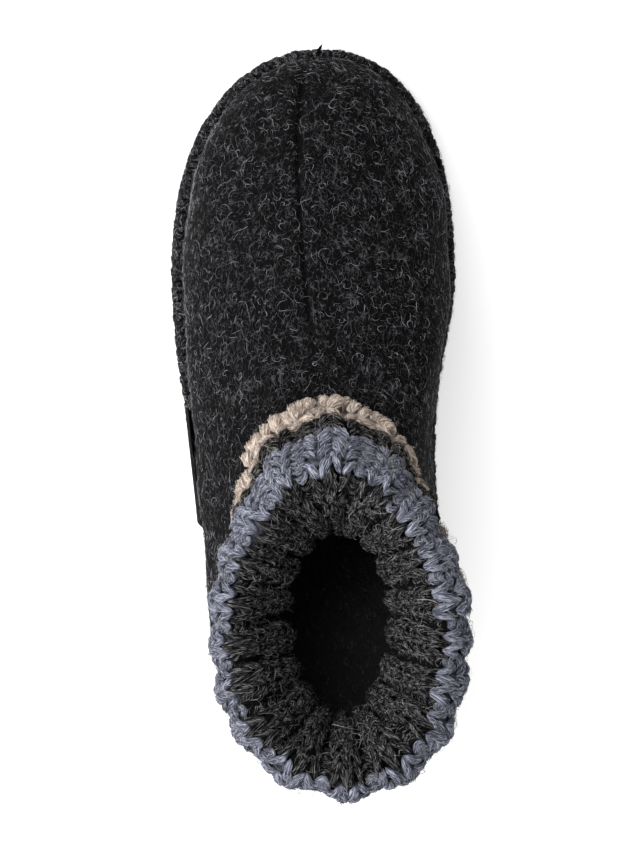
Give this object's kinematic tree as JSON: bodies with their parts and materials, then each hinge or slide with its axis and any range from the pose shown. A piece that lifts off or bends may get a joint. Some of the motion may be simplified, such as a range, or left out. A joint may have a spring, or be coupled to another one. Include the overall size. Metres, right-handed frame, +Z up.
{
  "type": "slipper boot",
  "caption": "Ankle-high slipper boot of dark boiled wool on a flat felt sole, with a chunky ribbed knit cuff turned down at the collar.",
  "frame": {"origin": "middle of the sole's bounding rectangle, on the floor", "axes": "+Y towards the toe, +X towards the inner side of the foot, +Z up"},
  "size_m": [0.1044, 0.268, 0.1206],
  "materials": {
    "sole": "matte dark felt",
    "insole": "matte dark felt",
    "upper": "matte charcoal boiled wool",
    "cuff": "matte charcoal rib knit with paler stripes",
    "side_patch": "black woven tape"
  },
  "bodies": {
    "root": {"sole": "sole", "insole": "insole", "upper": "upper", "cuff": "cuff", "side_patch": "side_patch"}
  },
  "joints": []
}
